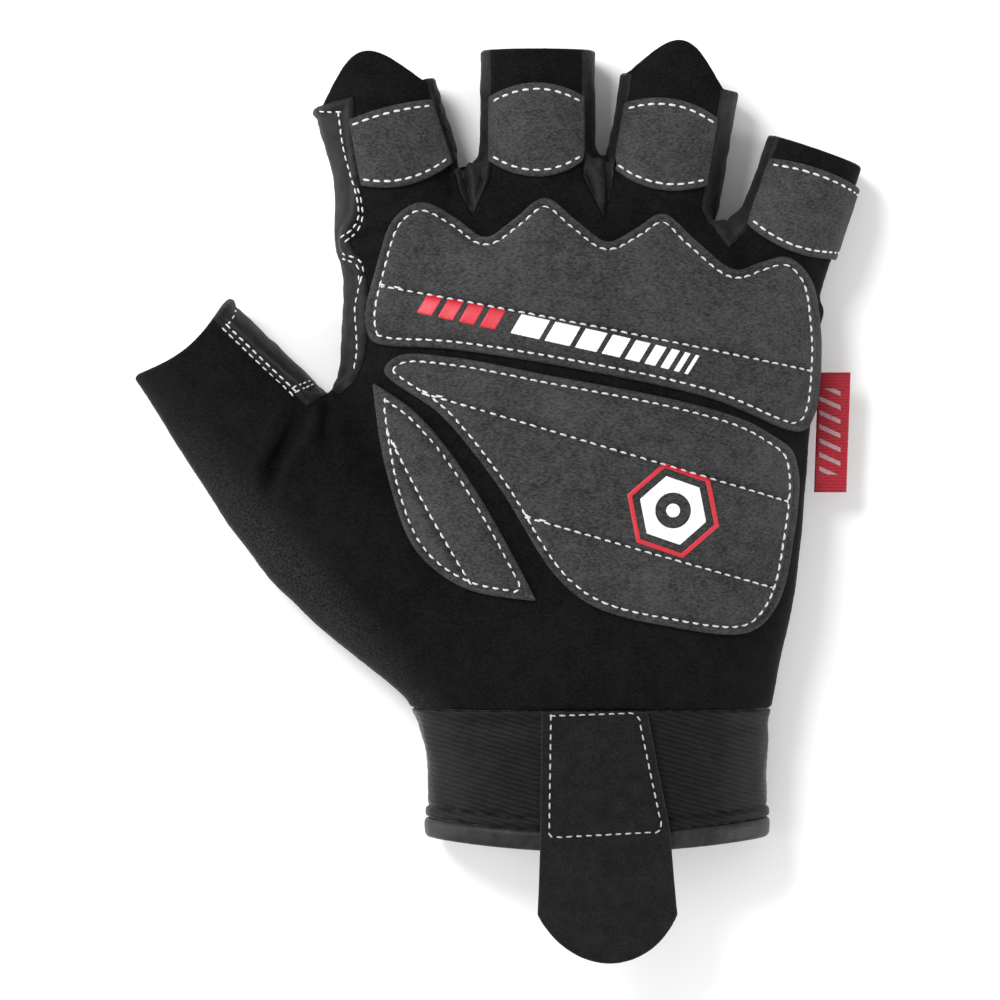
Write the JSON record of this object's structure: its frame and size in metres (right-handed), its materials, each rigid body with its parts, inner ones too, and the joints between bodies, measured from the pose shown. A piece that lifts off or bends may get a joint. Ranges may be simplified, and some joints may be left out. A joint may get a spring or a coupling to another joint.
{
  "type": "weightlifting glove",
  "caption": "Left-hand open-fingered weightlifting glove with padded palm, reinforced finger fronts, elastic cuff with a closure tab and hollow finger, thumb and hand spaces.",
  "frame": {"origin": "Under the middle of the glove, on the surface that it lies on.", "axes": "+Z out of the palm, +Y towards the fingertips, +X towards the little finger. The thumb is at -X."},
  "size_m": [0.1604, 0.2018, 0.0322],
  "materials": {
    "palm_cloth": "black napped synthetic suede",
    "back_cloth": "black stretch cloth",
    "gusset_cloth": "charcoal stretch knit",
    "pad_suede": "charcoal mottled synthetic suede",
    "cuff_elastic": "fine ribbed elastic",
    "cuff_binding": "smooth folded binding tape",
    "closure_felt": "black matt felt",
    "label_satin": "red woven satin"
  },
  "bodies": {
    "root": {"palm_panel": "palm_cloth", "back_panel": "back_cloth", "gusset_index_middle": "gusset_cloth", "gusset_middle_ring": "gusset_cloth", "gusset_ring_little": "gusset_cloth", "index_side_strip": "gusset_cloth", "thumb_side_strip": "gusset_cloth", "patch_index": "pad_suede", "patch_middle": "pad_suede", "patch_ring": "pad_suede", "patch_little": "pad_suede", "pad_knuckles": "pad_suede", "pad_heel": "pad_suede", "pad_thumb": "pad_suede", "cuff_band": "cuff_elastic", "cuff_binding": "cuff_binding", "closure_tab": "closure_felt", "side_label": "label_satin"}
  },
  "joints": []
}
